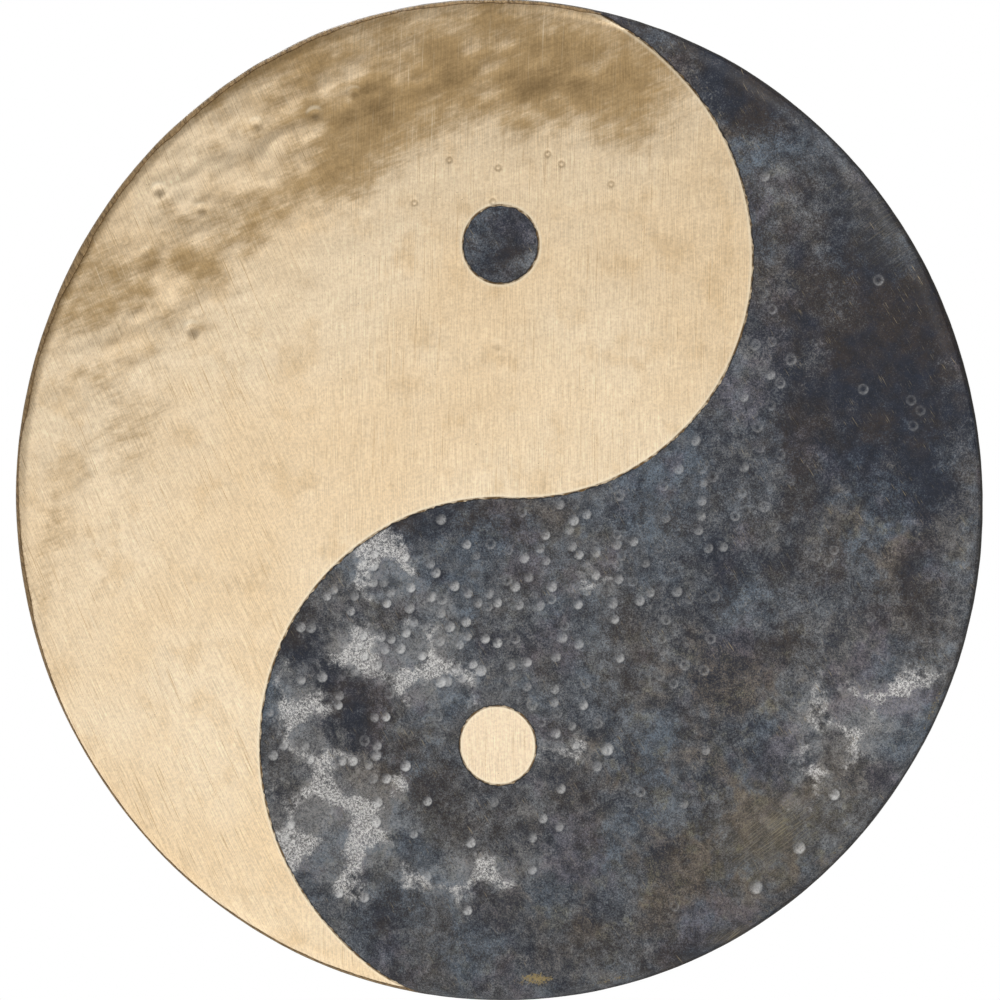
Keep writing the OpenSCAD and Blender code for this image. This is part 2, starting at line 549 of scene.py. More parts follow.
def relief(skin):
    """How far the sheet stands out of its smooth shape."""
    s = span(skin)
    calm = unit((WALL_END - s) / (8 * MM))
    swell = 0.34 * cloud(skin, 0.105, 11) + 0.16 * cloud(skin, 0.046, 12)
    hammered = 0.06 * blows(skin, 0.026, 13)
    return MM * calm * (swell + hammered + waves(skin))


def rim_relief(skin):
    """Blows of a smaller hammer round the rim and the shoulder."""
    s = span(skin)
    on_rim = unit((s - SCRAPE_END) / (10 * MM)) * unit((WALL_END - s) / (5 * MM))
    return MM * on_rim * (0.22 * blows(skin, 0.015, 31) + 0.05 * cloud(skin, 0.006, 32))


BACK_BLOW = 24 * MM


def back_relief(skin):
    """Overlapping blows on the back, and finer ones in rings."""
    s = span(skin)
    angle = clock(skin)
    ring = np.column_stack([angle * np.maximum(s, 0.04), s])
    calm = unit((WALL_END - s) / (6 * MM))
    return MM * calm * (0.70 * blows(skin, BACK_BLOW, 41) + 0.12 * blows(ring, 0.012, 43))


# Meshes ----------------------------------------------------

# distance between points where the bronze, the dark field, the rim and the back show, where the
# skin bends out of sight, and everywhere else
GOLD_STEP = 2.0 * MM
FIELD_STEP = 1.8 * MM
RIM_STEP = 1.8 * MM
BACK_STEP = 2.8 * MM
BEND_STEP = 2.6 * MM
HIDDEN_STEP = 9 * MM
# side of the cells that hold one point of a row each
THIN_CELL = 0.45 * MM
# points closer than this count as one
SAME_SPOT = 1e-7
# faces that meet at a wider angle than this make a sharp edge
SHARP_ANGLE = math.radians(48)
# how far the edge of a crust drops where it is rounded
EDGE_DROP = 0.14 * MM


def hexagons(step):
    """Points of an even grid of triangles over the whole skin."""
    rows = np.arange(-SKIN_END, SKIN_END, step * math.sqrt(3) / 2)
    columns = np.arange(-SKIN_END, SKIN_END, step)
    u = columns[None, :] + (np.arange(len(rows)) % 2)[:, None] * step / 2
    v = np.repeat(rows[:, None], len(columns), axis=1)
    points = np.column_stack([u.ravel(), v.ravel()])
    return points[span(points) < SKIN_END]


def between(points, low, high):
    """Points of the skin between two distances from the middle."""
    s = span(points)
    return points[(s > low) & (s < high)]


def edge_rings(step, rows):
    """Rings of points that follow the wall's rounded edge."""
    angles = sweep_angles(0, FULL_TURN, WALL_END, step)
    gap = math.pi * EDGE_R / (rows + 1)
    shifts = [(k % 2) * step / WALL_END / 2 for k in range(rows + 1)]
    return np.vstack([around(angles + shift) * (WALL_END + k * gap) for k, shift in enumerate(shifts)])


def hidden_points(low, high):
    """Sparse points for a side that nothing shows, closer together where the skin bends."""
    bend_low, bend_high = FACE_END - 4 * MM, SHOULDER_END + 4 * MM
    flat = between(hexagons(HIDDEN_STEP), low, min(high, bend_low - 3 * MM))
    bend = between(hexagons(BEND_STEP), max(low, bend_low), min(high, bend_high))
    wall = between(hexagons(BEND_STEP * 2), max(low, bend_high + 2 * MM), high)
    return np.vstack([flat, bend, wall])


def clear_of_holes(points):
    """Points that keep away from the loops round the hanging holes."""
    for loop in hole_loops:
        points = points[span(points - loop.mean(0)) > HOLE_R + 1.6 * MM]
    return points


# rings of points that follow a mark, in its radii
MARK_RINGS = (0.35, 0.68, 0.95, 1.2)
# points of rings closer than the gap to one of the last so many are left out
RING_GAP = 0.55 * MM
LOOK_BACK = 400


def add_marks(points, marks):
    """Swaps the grid near each mark for rings of points that follow its shape."""
    added = []
    for mark in marks:
        points = np.delete(points, near_mark(points, mark, 1.35)[0], axis=0)
        spot = unroll(mark[None, :2])[0]
        added.append(spot[None, :])
        for k, share in enumerate(MARK_RINGS):
            count = 5 + 4 * k
            added.append(spot + mark[RADIUS] * share * rays(count, 0.5 * (k % 2)))
    extra = np.vstack(added)
    apart = np.ones(len(extra), bool)
    for i in range(1, len(extra)):
        before = slice(max(0, i - LOOK_BACK), i)
        apart[i] = (span(extra[before] - extra[i])[apart[before]] > RING_GAP).all()
    return np.vstack([points, extra[apart]])


def numbered(loops):
    """Numbers of each loop's points when loops are stacked, and of the points that follow them."""
    start = 0
    for loop in loops:
        ids = np.arange(start, start + len(loop))
        yield ids, np.roll(ids, -1)
        start += len(loop)


def triangles(points, loops):
    """Triangles over points inside loops. The loops' own points come first in points."""
    edges = np.vstack([np.column_stack(pair) for pair in numbered(loops)]).tolist()
    made = delaunay_2d_cdt([Vector(p) for p in points.tolist()], edges, [], 0, SAME_SPOT, True)
    if len(made[0]) != len(points):
        raise ValueError(f"{len(points) - len(made[0])} points of a piece lie on others")
    faces = np.array(made[2])
    on_border = np.nonzero((faces < len(edges)).all(1))[0]
    outside = on_border[~inside_loops(points[faces[on_border]].mean(1), loops)]
    return np.delete(faces, outside, axis=0)


def inside_loops(spots, loops):
    """Whether spots lie inside an odd number of loops."""
    crossings = np.zeros(len(spots), int)
    for loop in loops:
        ahead = np.roll(loop, -1, axis=0)
        for a, b in zip(loop, ahead):
            if a[1] == b[1]:
                continue
            level = (spots[:, 1] >= min(a[1], b[1])) & (spots[:, 1] < max(a[1], b[1]))
            u = a[0] + (spots[:, 1] - a[1]) * (b[0] - a[0]) / (b[1] - a[1])
            crossings += level & (u > spots[:, 0])
    return crossings % 2 == 1


def wound(loop, turns):
    """The loop turned so that it runs clockwise (-1) or the other way (1)."""
    ahead = np.roll(loop, -1, axis=0)
    area = (loop[:, 0] * ahead[:, 1] - loop[:, 1] * ahead[:, 0]).sum()
    return loop if area * turns > 0 else loop[::-1]


def edge_drop(border, smooth):
    """How far the points of a border drop: all but those in smooth, which run on into a neighbour."""
    spots = {tuple(np.round(p, 9)) for p in smooth}
    return np.array([0.0 if tuple(np.round(p, 9)) in spots else EDGE_DROP for p in border])


def shell(
    name, material, loops, outer, inner, depths, heights, paints, smooth=None, joined=False
):
    """A closed piece between two depths of the skin.

    loops: the outer boundary, then the holes. outer, inner: free points of its two sides.
    depths: of the outer and inner side. heights: function of each side's relief.
    paints: function that gives the fields painted on it. smooth: points of the loops where the
    outer side's edge isn't rounded; with None it is rounded nowhere. joined: both sides share
    the first loop, which runs round the wall's edge on the outer side only.
    """
    loops = [wound(loop, 1 if k == 0 else -1) for k, loop in enumerate(loops)]
    border = np.vstack(loops)
    outer_skin = np.vstack([border, outer])
    inner_border = border.copy()
    count = len(loops[0])
    if joined:
        inner_border[:count] *= WALL_END / span(border[:count])[:, None]
    inner_skin = np.vstack([inner_border, inner])

    outer_in = depths[0] - heights[0](outer_skin)
    if smooth is not None:
        outer_in[: len(border)] += edge_drop(border, smooth)
    inner_in = depths[1] - heights[1](inner_skin)
    corners = np.vstack([place(outer_skin, outer_in), place(inner_skin, inner_in)])
    outer_faces = triangles(outer_skin, loops)
    inner_faces = triangles(inner_skin, [inner_border[:count], *loops[1:]])[:, ::-1] + len(outer_skin)
    walls = []
    for ids, ahead in list(numbered(loops))[joined:]:
        walls.append(np.column_stack([ids, ids + len(outer_skin), ahead + len(outer_skin)]))
        walls.append(np.column_stack([ids, ahead + len(outer_skin), ahead]))
    if joined:
        shared = inner_faces < len(outer_skin) + count
        inner_faces = np.where(shared, inner_faces - len(outer_skin), inner_faces)
    faces = np.vstack([outer_faces, inner_faces, *walls])
    mesh_piece(name, material, corners, faces, np.vstack([outer_skin, inner_skin]), paints)


def shown(name, data):
    """New object with that data, in the scene."""
    made = bpy.data.objects.new(name, data)
    bpy.context.scene.collection.objects.link(made)
    return made


def mesh_piece(name, material, corners, faces, skins, paints):
    """The object with its material, its painted fields, its body and the CAD node it stands for."""
    used, faces = np.unique(faces, return_inverse=True)
    faces = faces.reshape(-1, 3)
    corners, skins = corners[used], skins[used]
    mesh = bpy.data.meshes.new(name)
    mesh.vertices.add(len(corners))
    mesh.vertices.foreach_set("co", corners.astype(np.float32).ravel())
    mesh.loops.add(faces.size)
    mesh.loops.foreach_set("vertex_index", faces.astype(np.int32).ravel())
    mesh.polygons.add(len(faces))
    mesh.polygons.foreach_set("loop_start", np.arange(0, faces.size, 3, dtype=np.int32))
    mesh.update(calc_edges=True)
    mesh.shade_smooth()
    mesh.set_sharp_from_angle(angle=SHARP_ANGLE)
    for field, values in paints(skins).items():
        layer = mesh.attributes.new(field, "FLOAT", "POINT")
        layer.data.foreach_set("value", values.astype(np.float32))
    mesh.materials.append(material)
    piece = shown(name, mesh)
    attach(piece, "root")
    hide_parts(name)


# Materials -------------------------------------------------


class Value:
    """Output of a node. Adding to it, taking from it and multiplying it make further nodes."""

    def __init__(self, nodes, socket):
        self.nodes = nodes
        self.socket = socket

    def __add__(self, other):
        return self.nodes.math("ADD", self, other)

    def __sub__(self, number):
        return self.nodes.math("ADD", self, -number)

    def __rsub__(self, number):
        return self.nodes.math("SUBTRACT", number, self)

    def __mul__(self, other):
        return self.nodes.math("MULTIPLY", self, other)


class Nodes:
    """A node tree. Its methods add nodes and give the value to use next."""

    def __init__(self, tree):
        self.tree = tree
        tree.nodes.clear()

    def node(self, kind, inputs, output=0, **settings):
        """Adds a node. inputs gives the value, number or colour for each input, by name or place."""
        made = self.tree.nodes.new("ShaderNode" + kind)
        for name, setting in settings.items():
            setattr(made, name, setting)
        for key, value in inputs.items():
            socket = made.inputs[key]
            if isinstance(value, Value):
                self.tree.links.new(value.socket, socket)
            else:
                socket.default_value = (*value, 1.0) if socket.type == "RGBA" else value
        return Value(self, made.outputs[output]) if made.outputs else None

    def ramp(self, value, low, high, out_low=0.0, out_high=1.0):
        """Smooth step of a value from low to high."""
        inputs = {"Value": value, "From Min": low, "From Max": high}
        inputs.update({"To Min": out_low, "To Max": out_high})
        return self.node("MapRange", inputs, interpolation_type="SMOOTHSTEP")

    def math(self, operation, a, b):
        """Result of a sum on two values or numbers."""
        return self.node("Math", {0: a, 1: b}, operation=operation)


class Paint(Nodes):
    """A node material whose colour is built up in coats."""

    def __init__(self, name):
        self.material = bpy.data.materials.new(name)
        self.material.use_nodes = True
        super().__init__(self.material.node_tree)
        self.spot = self.node("TexCoord", {}, "Object")
        self.colour = None

    def field(self, name):
        """A value painted on the mesh's points."""
        return self.node("Attribute", {}, "Fac", attribute_name=name)

    def in_cells(self, size, slant=0.0):
        """Place on the object, counted in cells of that size along x, y and z."""
        inputs = {"Vector": self.spot, "Rotation": (0, math.radians(slant), 0), "Scale": size}
        return self.node("Mapping", inputs, vector_type="TEXTURE")

    def grain(self, size, detail=2.0, harshness=0.5, slant=0.0, warp=0.0):
        """Noise from 0 to 1. size is its cell in metres along x, y and z, or one number for all."""
        spot = self.in_cells(size if isinstance(size, tuple) else (size, size, size), slant)
        inputs = {"Vector": spot, "Scale": 1.0, "Detail": detail, "Roughness": harshness}
        inputs["Distortion"] = warp
        return self.node("TexNoise", inputs, "Fac")

    def specks(self, size, radius):
        """1 in small dots, one to a cell of that size, and 0 between them."""
        inputs = {"Vector": self.in_cells((size, size, size)), "Scale": 1.0}
        distance = self.node("TexVoronoi", inputs, "Distance")
        return self.ramp(distance, radius / size, 0.5 * radius / size)

    def mix(self, share, a, b, blend="MIX"):
        """Colour a, going over to b by share."""
        return self.node("Mix", {0: share, 6: a, 7: b}, 2, data_type="RGBA", blend_type=blend)

    def coat(self, share, colour):
        """Covers that share of the colour so far with another one."""
        self.colour = self.mix(share, self.colour, colour)

    def tone(self, amount):
        """Makes the colour so far lighter or darker by the amount."""
        grey = self.node("CombineColor", {0: amount, 1: amount, 2: amount})
        self.colour = self.mix(1.0, self.colour, grey, "MULTIPLY")

    def bump(self, height, distance, under=None):
        """Direction of the surface with small heights added, over those under it."""
        inputs = {"Height": height, "Distance": distance}
        if under is not None:
            inputs["Normal"] = under
        return self.node("Bump", inputs)

    def finish(self, metallic, roughness, normal, gloss=0.5):
        """Puts the colour so far and the rest on the surface."""
        inputs = {"Base Color": self.colour, "Metallic": metallic, "Roughness": roughness}
        inputs.update({"Specular IOR Level": gloss, "Normal": normal})
        shader = self.node("BsdfPrincipled", inputs)
        self.node("OutputMaterial", {0: shader})
        return self.material


# colours of the bare bronze
GOLD = (0.912, 0.712, 0.47)
PALE_GOLD = (0.965, 0.788, 0.56)
DULL_GOLD = (0.73, 0.535, 0.31)
# browns of tarnish, also used as painted shade at the top and left and in the hollows of the waves
TARNISH_AND_SHADE = (0.44, 0.295, 0.135)
DEEP_TARNISH_AND_SHADE = (0.2, 0.13, 0.058)
POLISHED = (0.985, 0.8, 0.58)
DARK_SCRAPE = (0.5, 0.345, 0.18)
LIGHT_SCRAPE = (1.0, 0.89, 0.68)
PIT = (0.12, 0.08, 0.04)
DENT_SHADOW = (0.15, 0.1, 0.05)
DENT_GLINT = (1.0, 0.9, 0.7)
STAMPED = (0.33, 0.225, 0.11)
FRESH_SCRAPE_AND_HIGHLIGHT = (1.0, 0.89, 0.69)
EDGE_STAIN_AND_SHADE = (0.15, 0.095, 0.045)
RIM_STAIN = (0.3, 0.2, 0.095)
# colours of the crust: its ground and its thicker parts, each from one to the other
GROUND = ((0.010, 0.014, 0.026), (0.024, 0.019, 0.019))
SLATE = ((0.156, 0.166, 0.180), (0.102, 0.130, 0.166))
BROWN_TINT = (0.142, 0.12, 0.097)
OLIVE_TINT = (0.156, 0.146, 0.096)
VIOLET_TINT = (0.13, 0.108, 0.138)
POWDER = (0.24, 0.238, 0.242)
SALT = (0.62, 0.62, 0.625)
FLECK = (0.29, 0.285, 0.275)
CUP_POWDER_AND_LIGHT = (0.56, 0.57, 0.585)
HATCHED = (0.1, 0.086, 0.06)
CUT = (0.23, 0.205, 0.145)
SCUFF = (0.27, 0.225, 0.15)
WORN_BRONZE = (0.38, 0.295, 0.135)
SCORCHED_TAN = (0.12, 0.078, 0.04)
TAN = (0.33, 0.228, 0.12)
SOOT_AND_SHADE = (0.01, 0.009, 0.008)
CRUST_EDGE_SHADE = (0.012, 0.009, 0.007)
# colours of the back
BACK_BROWN = (0.046, 0.034, 0.026)
BACK_BLUE = (0.034, 0.036, 0.043)
BACK_RUST = (0.09, 0.062, 0.04)
BACK_ASH = (0.2, 0.195, 0.19)
BACK_RIDGE = (0.1, 0.08, 0.062)
RUBBED_BRONZE = (0.33, 0.235, 0.115)
EDGE_BRONZE = (0.36, 0.26, 0.125)


def bright_bronze():
    """Scraped bronze: fine scrape lines, brown clouds of tarnish and painted shade, pits, and a bright
    line along the crust.
    """
    p = Paint("bright_bronze")
    tarnish = p.field("tarnish")
    slanted = p.field("slanted")
    dent = p.field("dent")

    upright = p.grain((0.9 * MM, 1, 70 * MM), 4, 0.6, 1)
    upright_fine = p.grain((0.5 * MM, 1, 22 * MM), 2, 0.6, -1)
    leaning = p.grain((1.0 * MM, 1, 60 * MM), 4, 0.6, -24)
    leaning_fine = p.grain((0.6 * MM, 1, 20 * MM), 2, 0.6, -27)
    lines = (1 - slanted) * upright + slanted * leaning
    fine_lines = (1 - slanted) * upright_fine + slanted * leaning_fine

    broad = p.grain(0.11, 3, 0.5)
    cloudy = p.grain(0.03, 4, 0.6)
    blotchy = p.grain((0.014, 1, 0.009), 4, 0.65, -20)
    speckle = p.grain(0.002, 3, 0.7)
    strokes = p.grain((0.022, 1, 0.0026), 5, 0.75, -22)

    p.colour = p.mix(p.ramp(broad, 0.35, 0.65), GOLD, PALE_GOLD)
    p.coat(p.ramp(cloudy, 0.5, 0.72) * 0.5, DULL_GOLD)
    unrest = (strokes - 0.5) * 1.1 + (blotchy - 0.5) * 1.1
    # the brown is tarnish and painted shade: darker in the hollows of the waves and at the top and left
    brown = tarnish + unrest * p.ramp(tarnish, -0.05, 0.45, 0.25, 1.0)
    brown_share = p.ramp(brown, 0.02, 1.05)
    p.coat(brown_share * 0.9, TARNISH_AND_SHADE)
    p.coat(p.ramp(brown, 0.95, 1.7) * 0.6, DEEP_TARNISH_AND_SHADE)
    p.coat(p.field("polish"), POLISHED)

    worked = p.ramp(p.grain(0.04, 3, 0.6), 0.36, 0.62, 0.25, 0.8) + slanted * 0.2
    p.tone(p.ramp(fine_lines, 0.32, 0.68, 0.85, 1.11))
    p.tone(p.ramp(speckle, 0.32, 0.68, 0.88, 1.08))
    dark_lines = p.ramp(lines, 0.43, 0.34) * worked
    p.coat(dark_lines * 0.75, DARK_SCRAPE)
    light_lines = p.ramp(lines, 0.6, 0.69) * (worked + slanted * -0.35)
    p.coat(light_lines * 0.7, LIGHT_SCRAPE)
    pits = p.specks(5.5 * MM, 0.42 * MM) * p.ramp(p.grain(0.022, 2), 0.54, 0.64)
    p.coat(pits * 0.75, PIT)
    # painted shadow and painted highlight of the dents
    p.coat(p.ramp(dent, -0.1, -1.0, 0.0, 0.6), DENT_SHADOW)
    p.coat(p.ramp(dent, 0.1, 0.9, 0.0, 0.5), DENT_GLINT)
    p.coat(p.field("stamp") * 0.55, STAMPED)

    parting_gap = p.field("edge")
    # bright line beside the crust's edge: freshly scraped metal and painted highlight of the step
    p.coat(p.ramp(parting_gap, 3.6, 1.5, 0.0, 0.5), FRESH_SCRAPE_AND_HIGHLIGHT)
    # dark line right at the crust's edge: stain and painted shade at the step
    stain = p.ramp(parting_gap, 1.5, 0.6) * p.ramp(p.grain(0.005, 3), 0.35, 0.6, 0.45, 1.0)
    p.coat(stain, EDGE_STAIN_AND_SHADE)
    rim_stain = p.ramp(p.field("rim") + (strokes - 0.5) * 1.6, 0.35, 0.95)
    p.coat(rim_stain * 0.7, RIM_STAIN)

    roughness = p.ramp(lines + brown_share * 0.25, 0.3, 0.9, 0.27, 0.42)
    normal = p.bump(lines + fine_lines * 0.5, 0.04 * MM)
    normal = p.bump(blotchy + speckle * 0.25, 0.16 * MM, normal)
    normal = p.bump(1 - pits, 0.1 * MM, normal)
    return p.finish(1.0, roughness, normal)


def crust(name, density, brown_share, gloss=0.30):
    """Fire crust: tinted dark ground, with light powder left wherever no blow has cleared it."""
    p = Paint(name)
    bloom = p.field("bloom")
    warm = p.field("warm") + brown_share
    worn = p.field("worn")

    broad = p.grain(0.09, 4, 0.55, warp=0.4)
    cloudy = p.grain(0.03, 5, 0.65, warp=0.5)
    mottled = p.grain(0.009, 4, 0.7)
    sand = p.grain(0.0012, 3, 0.85)

    tint = p.mix(p.ramp(broad, 0.38, 0.62), *SLATE)
    brown = p.ramp(p.grain(0.034, 5, 0.62, 30, 0.5), 0.44, 0.62)
    tint = p.mix(brown * warm, tint, BROWN_TINT)
    olive = p.ramp(p.grain(0.014, 4, 0.7), 0.52, 0.66)
    tint = p.mix(olive * warm * 0.6, tint, OLIVE_TINT)
    violet = p.ramp(p.grain(0.04, 4, 0.6, 70), 0.52, 0.66)
    tint = p.mix(violet * 0.5, tint, VIOLET_TINT)

    veil = (broad - 0.5) * 0.6 + (cloudy - 0.5) * 1.05 + (mottled - 0.5) * 0.7
    veil = veil + (bloom * 0.2 + p.field("shade") * -0.6) + density
    cover = p.ramp(veil + (sand - 0.5) * 1.9, 0.08, 0.94)
    ground = p.mix(p.ramp(p.grain(0.05, 4, 0.6, 50), 0.42, 0.6), *GROUND)
    p.colour = p.mix(cover, ground, tint)
    p.tone(p.ramp(mottled, 0.3, 0.7, 0.7, 1.3))

    cleared = p.ramp(p.field("facet") + (mottled - 0.5) * 0.6, 0.66, 0.86)
    thick = bloom + ((cloudy - 0.5) * 2.1 + (mottled - 0.5) * 1.2)
    powder = p.ramp(thick, 0.31, 0.76) * p.ramp(cleared, 0.0, 1.0, 1.0, 0.15)
    powder = powder * p.ramp(bloom, 0.04, 0.24)
    # powder, and where the glint rows of the patches lie, painted glints
    p.coat(powder * 0.45, POWDER)
    pores = p.ramp(p.grain(0.0016, 4, 0.85), 0.48, 0.4)
    p.coat(pores * 0.7, GROUND[0])
    salt = p.ramp(p.grain(0.0015, 4, 0.95), 0.475, 0.545)
    p.coat(powder * salt * 0.95, SALT)
    flecks = p.ramp(p.grain(0.0011, 2, 0.9), 0.58, 0.66) * p.ramp(veil, 0.2, 0.6, 0.12, 0.45)
    p.coat(flecks, FLECK)

    grainy = p.ramp(p.grain(0.0022, 3, 0.8), 0.34, 0.58, 0.35, 1.0)
    # painted shadow round each mark, then its powder, with painted light at its lower right
    p.coat(p.field("cup_shadow") * 0.6, GROUND[0])
    p.coat(p.field("cup_light") * grainy, CUP_POWDER_AND_LIGHT)

    hatch = p.field("hatch")
    p.coat(hatch * 0.4, HATCHED)
    cuts = p.ramp(p.grain((18 * MM, 1, 0.7 * MM), 2, 0.6, -38), 0.5, 0.62)
    p.coat(cuts * hatch * 0.6, CUT)
    scuffs = p.ramp(p.grain((14 * MM, 1, 0.8 * MM), 2, 0.6, 58), 0.6, 0.72)
    scuffs = scuffs * p.ramp(p.grain(0.02, 3, 0.6, 20), 0.5, 0.62)
    p.coat(scuffs * 0.75, SCUFF)

    bare = p.ramp(worn + (p.grain(0.0017, 3, 0.85) - 0.5) * 1.9, 0.7, 1.0)
    p.coat(bare * 0.75, WORN_BRONZE)
    scorched = p.ramp(p.grain((0.009, 1, 0.0022), 4, 0.8, 52), 0.36, 0.6)
    tan = p.mix(scorched, SCORCHED_TAN, TAN)
    p.coat(p.field("tan"), tan)
    # black round the shoulder: black crust and painted shade that darkens the outline
    p.coat(p.field("soot") * 0.88, SOOT_AND_SHADE)
    # black along the crust's edge: dark edge of the crust and painted shade of its step
    p.coat(p.ramp(p.field("edge"), 1.0, 0.2, 0.0, 0.9), CRUST_EDGE_SHADE)

    roughness = p.ramp(cloudy + powder * 0.4, 0.3, 0.9, 0.5, 0.72)
    grit = sand * 0.6 + mottled
    normal = p.bump(grit, 0.22 * MM)
    normal = p.bump(cloudy + powder * 0.2, 0.8 * MM, normal)
    return p.finish(bare * 0.85, roughness, normal, gloss)


def back_crust_material():
    """Crust of the back: browner, with bluish clouds, and bronze showing on the ridges of the blows."""
    p = Paint("back_crust_paint")
    ridge = p.field("ridge")
    edge = p.field("edge")
    broad = p.grain(0.12, 4, 0.55, warp=0.5)
    cloudy = p.grain(0.035, 5, 0.62, warp=0.4)
    sand = p.grain(0.0012, 2, 0.8)
    p.colour = p.mix(p.ramp(broad, 0.36, 0.64), BACK_BROWN, BACK_BLUE)
    p.coat(p.ramp(cloudy, 0.5, 0.72), BACK_RUST)
    ash = p.ramp(p.grain(0.022, 5, 0.7, 40), 0.56, 0.74) * p.ramp(p.grain(0.0017, 2, 0.9), 0.36, 0.64)
    p.coat(ash * 0.55, BACK_ASH)
    p.tone(p.ramp(sand, 0.25, 0.75, 0.66, 1.36))
    p.tone(p.ramp(p.field("tone"), 0.0, 1.0, 0.8, 1.22))
    ridge_line = p.ramp(ridge + (cloudy - 0.5) * 0.8, 0.15, 0.6)
    p.coat(ridge_line * 0.35, BACK_RIDGE)
    rubbed = p.ramp(ridge + (p.grain(0.006, 4, 0.75) - 0.5) * 1.9, 0.56, 0.9)
    p.coat(rubbed * 0.75, RUBBED_BRONZE)
    p.coat(p.ramp(edge, 1.0, 0.3, 0.0, 0.8), EDGE_BRONZE)
    roughness = p.ramp(cloudy, 0.3, 0.7, 0.38, 0.6)
    grit = sand * 0.6 + p.grain(0.0045, 4, 0.7)
    normal = p.bump(grit, 0.18 * MM)
    normal = p.bump(cloudy, 0.5 * MM, normal)
    return p.finish(rubbed * 0.8, roughness, normal)


# Painted fields --------------------------------------------

# Rows for patches(). On the bronze: brown clouds, tarnish and painted shade at the top and left.
TARNISH_AND_SHADE_PATCHES = [
    (-6, 310, 190, 42, 0, 1.05),
    (84, 284, 56, 34, -20, 0.50),
    (-90, 270, 70, 30, 14, 0.45),
    (-150, 214, 100, 24, 26, 0.95),
    (-240, 158, 40, 18, 34, 0.40),
    (-292, 146, 26, 40, -30, 0.60),
    (-268, 96, 44, 12, 24, 0.40),
    (-210, 117, 14, 8, 20, 0.40),
    (-268, 46, 50, 34, 40, 0.42),
    (-322, -40, 9, 80, 3, 0.30),
    (-290, -120, 8, 90, 12, 0.12),
]
# On the crust: light powder with two painted glints, darker places, warm tints, bronze worn bare, and
# scratched places.
BLOOM_AND_GLINT_PATCHES = [
    (-46, -60, 46, 13, -48, 1.00),
    (-84, -48, 30, 16, 30, 0.60),
    (-36, -122, 34, 26, -20, 0.95),
    (-96, -106, 34, 24, -50, 0.80),
    (-138, -156, 22, 40, 10, 1.05),
    (-92, -206, 34, 26, 20, 0.90),
    (-126, -246, 38, 34, -40, 0.90),
    (-40, -262, 70, 20, 0, 0.52),
    (20, -256, 50, 18, 20, 0.36),
    (62, -163, 50, 11, 6, 0.55),
    (80, -56, 52, 18, -10, 0.42),
    (262, -158, 32, 44, -30, 0.70),
    (286, -130, 46, 20, 30, 0.50),
    # the next two small strong rows are painted glints: reflections on short strokes, painted as light
    # powder
    (228, -205, 16, 8, -40, 1.00),
    (208, -221, 12, 4, -40, 0.90),
    (190, 60, 16, 60, 10, 0.20),
    (300, -30, 30, 50, 0, 0.12),
    (6, 190, 12, 10, 30, 0.30),
    (26, 170, 10, 12, 0, 0.25),
]
SHADE_PATCHES = [
    (273, 176, 50, 50, 0, 0.30),
    (178, 280, 36, 24, -35, 0.35),
    (300, 110, 70, 70, -50, 0.90),
    (255, 40, 50, 60, 0, 0.45),
    (170, 300, 90, 22, -35, 0.50),
    (-44, -14, 60, 14, 12, 0.60),
    (-134, -100, 20, 26, 30, 0.70),
    (-106, -150, 20, 22, 0, 0.70),
    (-40, -200, 26, 20, 0, 0.40),
    (160, -318, 90, 14, 28, 0.50),
    (180, -30, 50, 40, 0, 0.30),
    (310, 20, 12, 90, 0, 0.75),
    (-84, -284, 36, 20, -50, 0.45),
    (10, 178, 12, 12, 0, 0.55),
]
WARM_PATCHES = [
    (190, 224, 16, 70, 28, 0.90),
    (120, 300, 60, 20, -35, 0.60),
    (90, -176, 24, 20, 0, 0.90),
    (216, -232, 60, 40, 30, 0.90),
    (176, -118, 60, 40, 0, 0.80),
    (150, -200, 60, 40, 0, 0.60),
    (284, -20, 50, 60, 0, 0.55),
    (-72, -192, 30, 24, 0, 0.60),
    (-96, -40, 26, 16, 30, 0.60),
    (110, -270, 100, 36, 20, 0.70),
    (40, -10, 60, 12, 0, 0.40),
]
WORN_PATCHES = [
    (36, -334, 20, 6, 4, 1.00),
    (92, -330, 34, 3, 16, 0.52),
    (186, -293, 40, 3, 32, 0.45),
    (250, -240, 50, 3, 48, 0.40),
    (318, -140, 40, 3, 66, 0.42),
    (186, 226, 5, 70, 30, 0.50),
    (60, 8, 70, 3, 4, 0.40),
]
HATCH_PATCHES = [
    (212, -228, 40, 26, 36, 1.0),
    (290, 190, 50, 16, -45, 0.35),
    (173, -305, 10, 6, 30, 1.0),
]


# how far from an edge counts as no edge at all, in mm
NO_EDGE = 9.0


def bronze_fields(skin):
    """What the bronze material needs to know at points of the skin."""
    flat = seen_flat(skin)
    angle = clock(skin)
    from_rim = np.clip((scrape_end(angle) - span(skin)) / MM, 0, 60)
    upper_left = bell(angle, math.radians(-48), math.radians(50))
    left = bell(angle, math.radians(-80), math.radians(40))
    # tarnish, with painted shade: darker in the hollows of the planishing waves and near the rim at the
    # upper left
    tarnish = patches(flat, TARNISH_AND_SHADE_PATCHES) + 0.45 * upper_left * unit(1 - from_rim / 9)
    tarnish += 0.14 * clouds(flat, 0.05, 82) - 0.75 * waves(skin)
    return {
        "tarnish": tarnish,
        "polish": unit(within(flat, BRIGHT_EYE) / MM + 1),
        "slanted": unit((-0.105 - flat[:, 0] + 0.03 * clouds(flat, 0.06, 80)) / 0.05),
        "edge": np.minimum(np.abs(within_dark(flat)), np.abs(within(flat, DARK_EYE))) / MM,
        "rim": np.exp(-from_rim / 2.8) * (0.45 + 0.7 * left),
        "dent": over_marks(skin, bright_dents, 2.2, dent_painted_light, np.add),
        "stamp": ring_mask(skin),
    }


